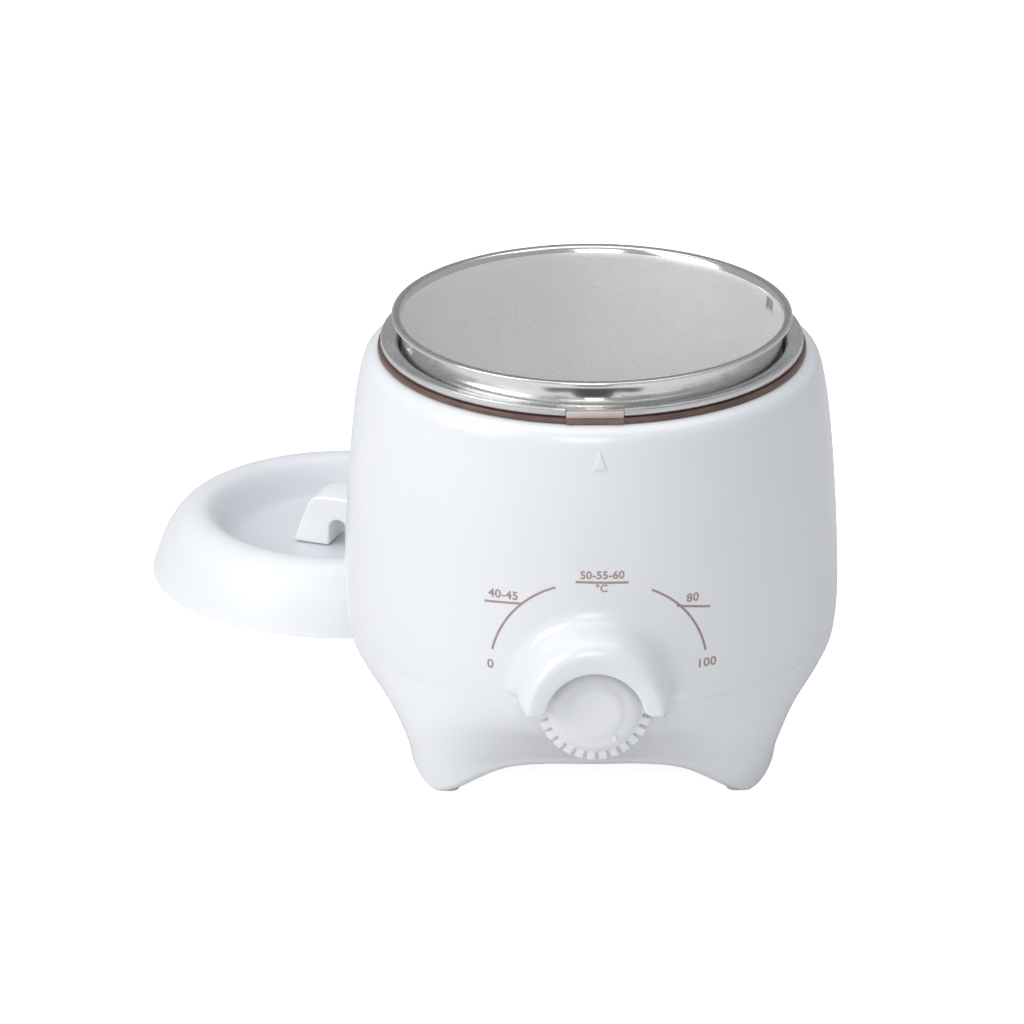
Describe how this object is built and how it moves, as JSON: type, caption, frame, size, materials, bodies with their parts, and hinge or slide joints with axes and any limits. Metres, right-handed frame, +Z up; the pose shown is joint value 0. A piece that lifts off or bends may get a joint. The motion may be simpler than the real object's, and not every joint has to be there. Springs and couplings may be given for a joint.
{
  "type": "wax warmer pot",
  "caption": "Tabletop wax warmer: round white plastic body on four legs, lift-out metal pot, front thermostat knob under a hood, loose lid with a recessed grip and a coiled mains cord.",
  "frame": {"origin": "middle of the flat underside of the base, on the pot's axis, 12 mm above the table that the foot pads stand on", "axes": "+Z up along the pot's axis; -Y to the front, where the knob is; +X to the right as seen from the front. The lid lies behind to the left and the cord behind to the right"},
  "size_m": [0.2178, 0.4053, 0.1404],
  "materials": {
    "white_plastic": "glossy, smooth moulded",
    "knob_plastic": "satin gloss, smooth moulded",
    "lid_plastic": "glossy, smooth moulded",
    "pot_aluminium": "satin, fine random grain inside, polished rim",
    "well_aluminium": "satin, spun",
    "collar_brown": "semi-gloss, heat-resistant resin",
    "pad_rubber": "matte",
    "zinc_steel": "zinc plated",
    "band_steel": "dull rolled steel",
    "thermostat_black": "moulded phenolic",
    "copper": "drawn copper",
    "cord_white": "soft vinyl sheath",
    "pin_nickel": "nickel-plated brass",
    "wire_brown": "insulated wire",
    "wire_blue": "insulated wire",
    "wire_green": "insulated wire"
  },
  "bodies": {
    "base": {"upper_housing": "white_plastic", "base_shell": "white_plastic", "heater_well": "well_aluminium", "insulating_collar": "collar_brown", "foot_pad_1": "pad_rubber", "foot_pad_2": "pad_rubber", "foot_pad_3": "pad_rubber", "foot_pad_4": "pad_rubber", "base_screw_1": "zinc_steel", "base_screw_2": "zinc_steel", "base_screw_3": "zinc_steel", "base_screw_4": "zinc_steel", "heater_band": "band_steel", "band_clamp_screw": "zinc_steel", "well_bracket": "zinc_steel", "well_nut": "zinc_steel", "bracket_screw_1": "zinc_steel", "bracket_screw_2": "zinc_steel", "thermostat_body": "thermostat_black", "thermostat_nut": "zinc_steel", "capillary_tube": "copper", "thermal_fuse": "thermostat_black", "fuse_clip": "zinc_steel", "wire_live": "wire_brown", "wire_neutral": "wire_blue", "wire_earth": "wire_green", "strain_relief": "cord_white", "power_cord": "cord_white", "plug_body": "cord_white", "plug_pin_1": "pin_nickel", "plug_pin_2": "pin_nickel"},
    "knob": {"knob": "knob_plastic", "thermostat_shaft": "zinc_steel"},
    "pot": {"inner_pot": "pot_aluminium"},
    "lid": {"lid_shell": "lid_plastic", "lid_handle": "lid_plastic", "lid_screw_1": "zinc_steel", "lid_screw_2": "zinc_steel"}
  },
  "joints": [
    {"name": "knob_turn", "type": "hinge", "parent": "base", "child": "knob", "pos_m": [0, -0.0788, 0.0295], "axis": [0, -1, 0], "range_deg": [0, 214]},
    {"name": "pot_lift", "type": "slide", "parent": "base", "child": "pot", "axis": [0, 0, 1], "range_m": [0, 0.12]},
    {"name": "lid_lift", "type": "slide", "parent": "base", "child": "lid", "axis": [0, 0, 1], "range_m": [0, 0.15]}
  ]
}
